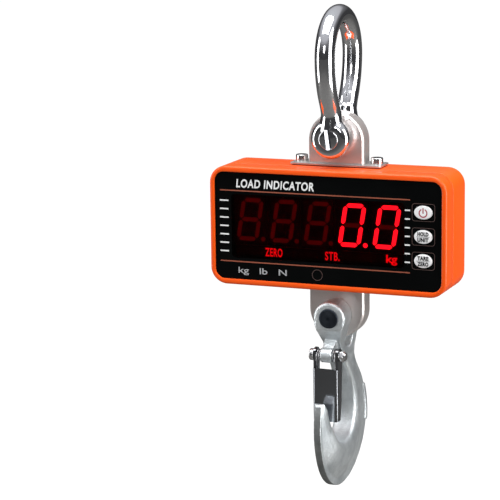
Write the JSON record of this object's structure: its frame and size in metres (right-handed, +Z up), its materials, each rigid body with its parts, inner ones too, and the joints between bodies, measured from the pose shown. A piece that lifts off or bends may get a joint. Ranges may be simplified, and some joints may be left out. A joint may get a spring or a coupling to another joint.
{
  "type": "crane scale",
  "caption": "Hanging crane scale: bow shackle on a load cell bar, orange housing with red LED display and keys, and a swinging clevis hook with safety latch.",
  "frame": {"origin": "inside crown of the shackle bow, the point the scale hangs from", "axes": "+Z up along the load line, -Y out of the display's face, +X to the right of someone who reads the display"},
  "size_m": [0.172, 0.0876, 0.3384],
  "materials": {
    "polished_steel": "polished, forged and plated",
    "cell_steel": "fine brushed",
    "plate_steel": "satin",
    "screw_steel": "bright plated",
    "orange_shell": "semi-gloss paint on die-cast aluminium",
    "black_panel": "glossy",
    "tinted_window": "dark red tinted acrylic",
    "key_cap": "glossy",
    "led_face": "matte",
    "black_plastic": "matte",
    "green_board": "solder mask",
    "seal_rubber": "matte",
    "gauge_foil": "foil on film",
    "potting": "silicone",
    "cell_wrap": "shrink film",
    "nickel": "bright",
    "cable_grey": "matte",
    "lead_red": "matte",
    "ribbon": "matte",
    "hook_iron": "zinc plated forging, satin",
    "dark_steel": "black oxide",
    "latch_steel": "bright zinc plate"
  },
  "bodies": {
    "shackle": {"shackle_bow": "polished_steel", "shackle_pin": "polished_steel"},
    "scale": {"load_cell": "cell_steel", "strain_gauges": "gauge_foil", "gauge_covers": "potting", "top_plate": "plate_steel", "top_plate_screws": "screw_steel", "top_seal": "seal_rubber", "bottom_plate": "plate_steel", "bottom_plate_screws": "screw_steel", "bottom_seal": "seal_rubber", "front_shell": "orange_shell", "rear_shell": "orange_shell", "shell_gasket": "seal_rubber", "shell_screws": "screw_steel", "front_panel": "black_panel", "display_window": "tinted_window", "ir_window": "tinted_window", "key_switches": "black_plastic", "led_digit_1": "led_face", "led_digit_2": "led_face", "led_digit_3": "led_face", "led_digit_4": "led_face", "led_digit_5": "led_face", "status_lamps": "led_face", "display_board": "green_board", "display_board_screws": "screw_steel", "ir_receiver": "black_plastic", "main_board": "green_board", "board_parts": "black_plastic", "main_board_screws": "screw_steel", "buzzer": "black_plastic", "battery_cells": "cell_wrap", "battery_strips": "nickel", "battery_cover": "orange_shell", "battery_cover_screws": "screw_steel", "charging_socket": "black_plastic", "cell_cable": "cable_grey", "battery_lead": "lead_red", "ribbon_cable": "ribbon"},
    "hook": {"hook_body": "hook_iron", "hook_pin": "dark_steel", "hook_roll_pin": "dark_steel", "latch_bolt": "screw_steel", "latch_nut": "screw_steel"},
    "latch": {"latch": "latch_steel", "latch_spring": "dark_steel"},
    "power_key": {"power_key": "key_cap"},
    "hold_key": {"hold_key": "key_cap"},
    "tare_key": {"tare_key": "key_cap"},
    "socket_plug": {"socket_plug": "seal_rubber"}
  },
  "joints": [
    {"name": "scale_swing", "type": "hinge", "parent": "shackle", "child": "scale", "pos_m": [0, 0, -0.0772], "axis": [0, 1, 0], "range_deg": [-90, 90]},
    {"name": "hook_swing", "type": "hinge", "parent": "scale", "child": "hook", "pos_m": [0, 0, -0.2016], "axis": [0, 1, 0], "range_deg": [-90, 90]},
    {"name": "latch_open", "type": "hinge", "parent": "hook", "child": "latch", "pos_m": [0, -0.026, -0.2271], "axis": [1, 0, 0], "range_deg": [0, 40], "stiffness_Nm_per_rad": 0.05, "springref_deg": -22.92},
    {"name": "power_key_press", "type": "slide", "parent": "scale", "child": "power_key", "axis": [0, 1, 0], "range_m": [0, 0.0005], "stiffness_N_per_m": 800, "springref_m": -0.0002},
    {"name": "hold_key_press", "type": "slide", "parent": "scale", "child": "hold_key", "axis": [0, 1, 0], "range_m": [0, 0.0005], "stiffness_N_per_m": 800, "springref_m": -0.0002},
    {"name": "tare_key_press", "type": "slide", "parent": "scale", "child": "tare_key", "axis": [0, 1, 0], "range_m": [0, 0.0005], "stiffness_N_per_m": 800, "springref_m": -0.0002},
    {"name": "socket_plug_pull", "type": "slide", "parent": "scale", "child": "socket_plug", "axis": [0, 0, -1], "range_m": [0, 0.012]}
  ]
}
